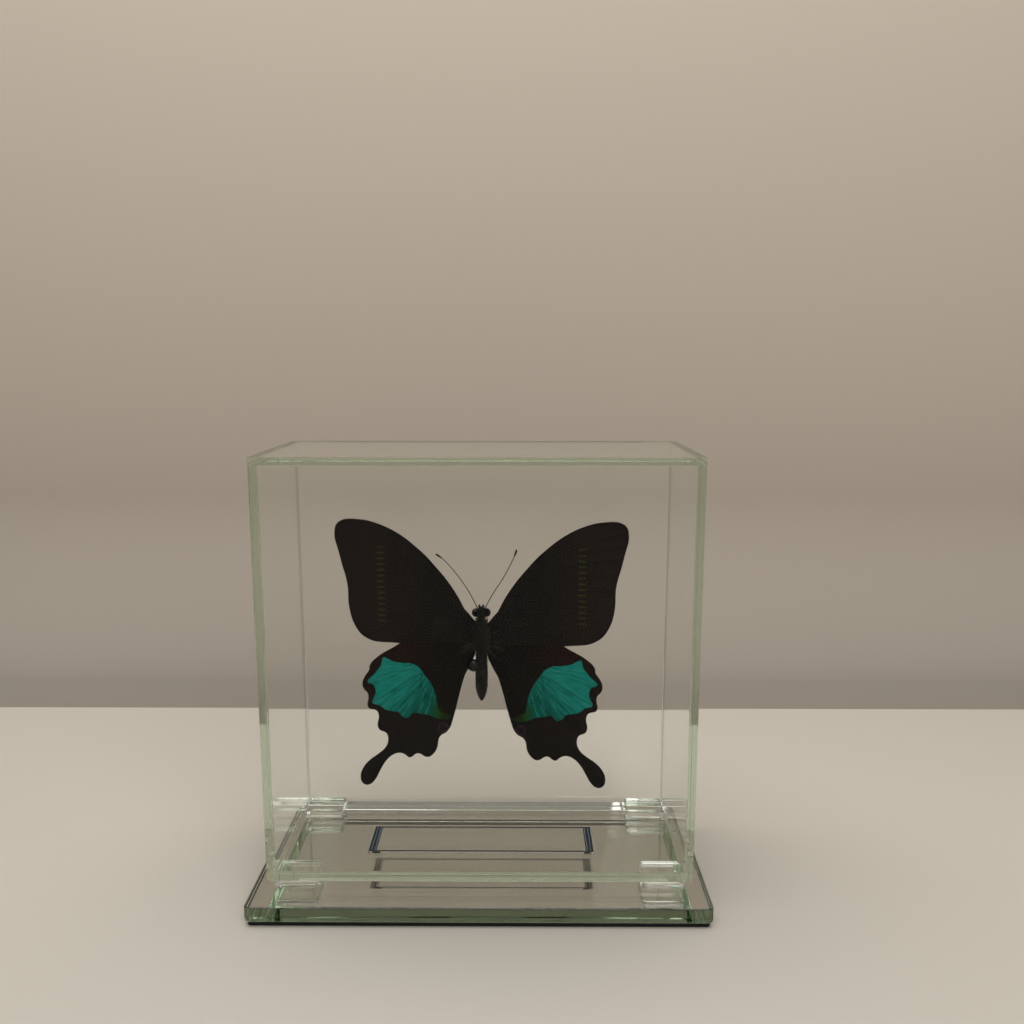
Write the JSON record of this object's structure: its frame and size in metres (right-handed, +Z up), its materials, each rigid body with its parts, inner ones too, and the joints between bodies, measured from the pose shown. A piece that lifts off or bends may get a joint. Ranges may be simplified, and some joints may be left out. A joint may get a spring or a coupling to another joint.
{
  "type": "butterfly specimen in a glass case",
  "caption": "Spread swallowtail butterfly mounted upright in a sealed clear glass case, standing on clear pads over a mirror base.",
  "frame": {"origin": "centre of the underside of the felt sheet, on which the object rests", "axes": "+Z up, +X to the right seen from the front, +Y from the front to the back"},
  "size_m": [0.161, 0.0746, 0.1603],
  "materials": {
    "mirror_base": "silvered 5.5 mm float glass with polished pale green edges",
    "black_felt": "thin dull black felt",
    "case_glass": "clear 2.8 mm float glass, polished edges that look pale green",
    "clear_plastic": "clear, with bright polished edges",
    "label_film": "clear film printed with a dark blue double border",
    "insect_body": "dull blackish brown, hairy on the thorax",
    "forewing": "soft brown-black scales with a faint olive-green band of dashes",
    "hindwing": "brown-black scales with a silky teal patch",
    "pin_black": "glossy black",
    "pin_steel": "plain drawn wire"
  },
  "bodies": {
    "root": {"mirror_base": "mirror_base", "felt_sheet": "black_felt", "pad_front_left": "clear_plastic", "pad_front_right": "clear_plastic", "pad_back_left": "clear_plastic", "pad_back_right": "clear_plastic", "floor_pane": "case_glass", "top_pane": "case_glass", "front_pane": "case_glass", "back_pane": "case_glass", "left_pane": "case_glass", "right_pane": "case_glass", "label_strip": "label_film", "butterfly_body": "insect_body", "forewing_left": "forewing", "forewing_right": "forewing", "hindwing_left": "hindwing", "hindwing_right": "hindwing", "antenna_left": "insect_body", "antenna_right": "insect_body", "pin_head": "pin_black", "pin_shaft": "pin_steel", "pin_foot": "clear_plastic"}
  },
  "joints": []
}
